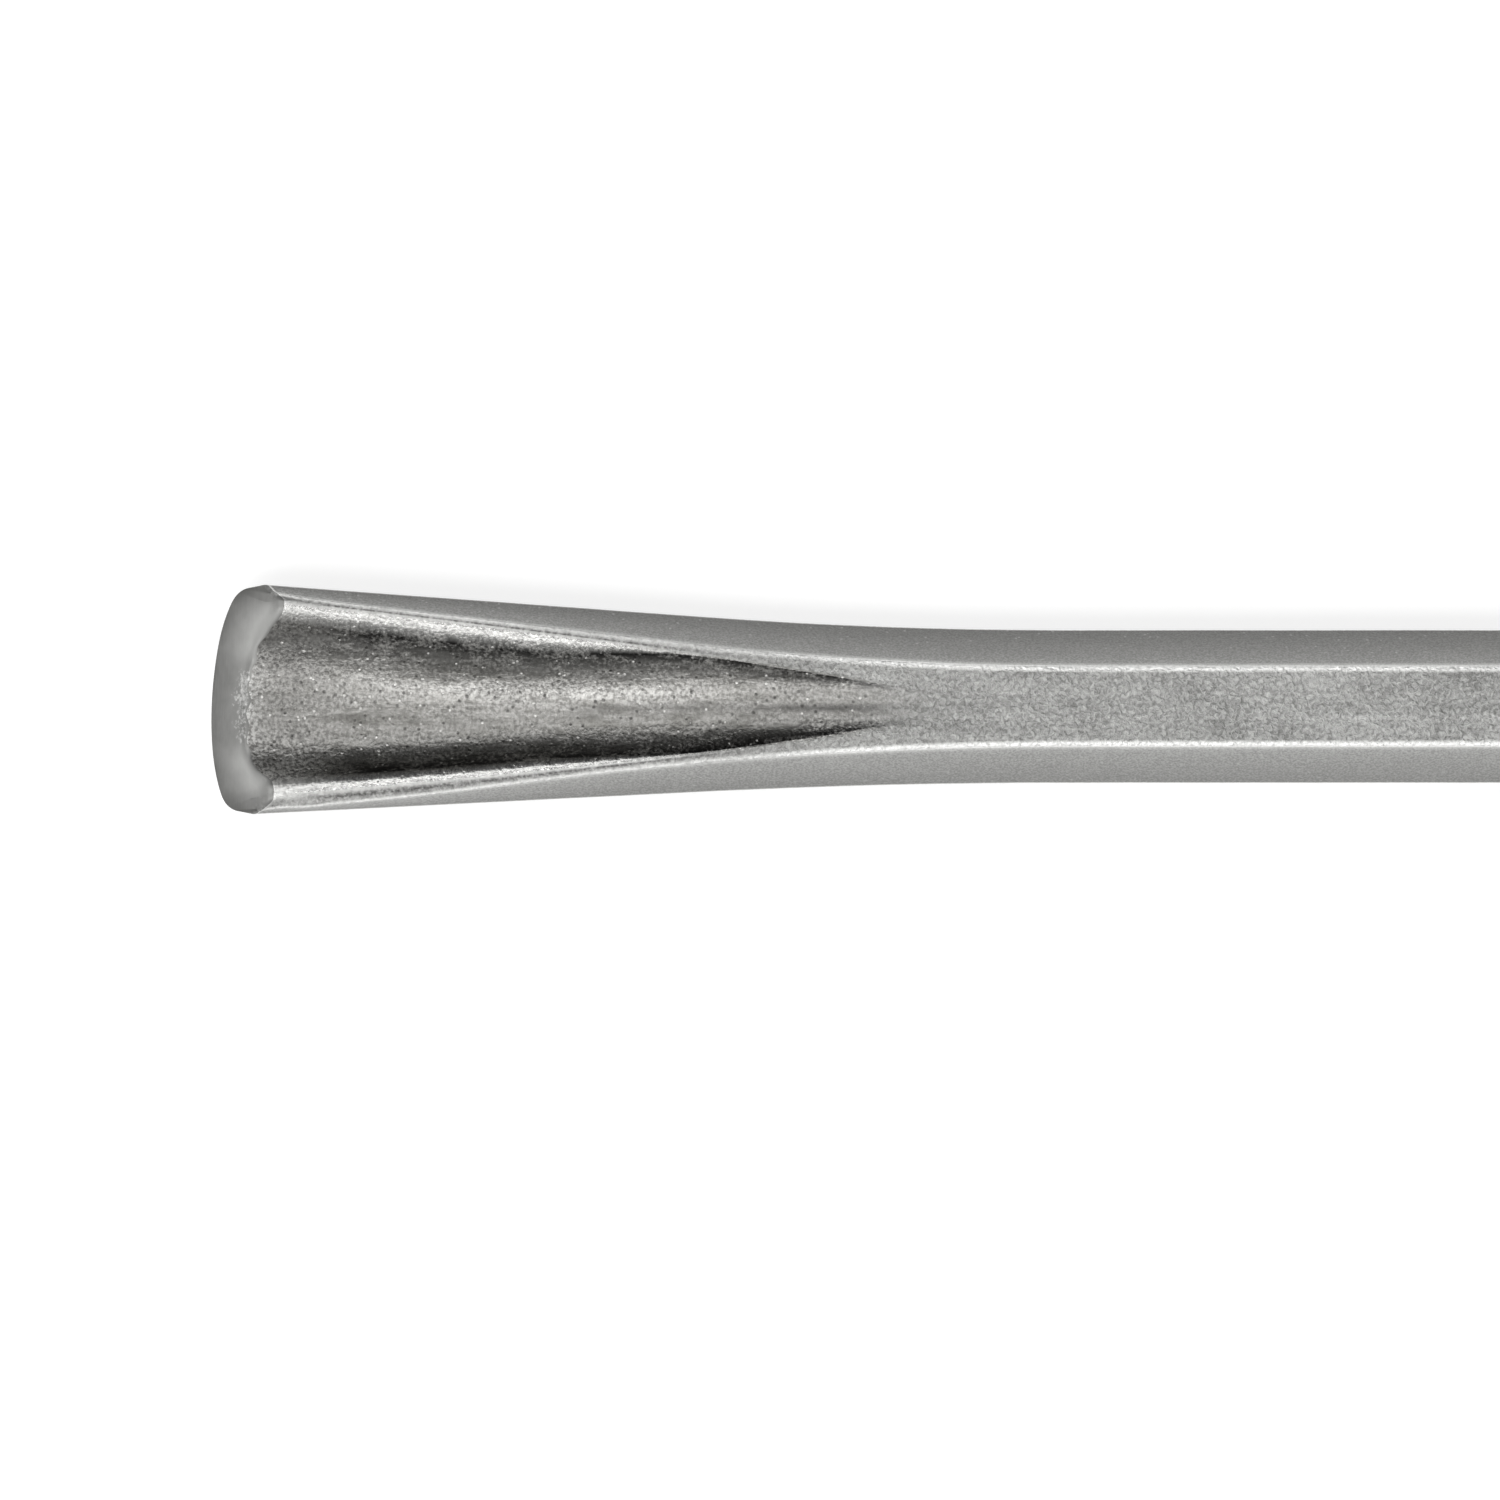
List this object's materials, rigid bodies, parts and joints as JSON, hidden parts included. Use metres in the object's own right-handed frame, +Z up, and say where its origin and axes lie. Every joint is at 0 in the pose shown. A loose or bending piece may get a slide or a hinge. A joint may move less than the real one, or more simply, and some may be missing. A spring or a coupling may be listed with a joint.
{
  "type": "channel chisel",
  "caption": "Channel chisel for a hammer drill: a flared gouge head with a channel pressed into its top, forged from hexagonal bar, and a slotted round shank.",
  "frame": {"origin": "on the shank's axis, where the round shank meets its shoulder", "axes": "+X along the tool towards the end of the shank, so that the cutting edge lies at -X; +Z up, out of the open channel, with the chisel lying on the lower flat of its bar"},
  "size_m": [0.2499, 0.0221, 0.013],
  "materials": {
    "steel": "satin"
  },
  "bodies": {
    "root": {"chisel": "steel"}
  },
  "joints": []
}
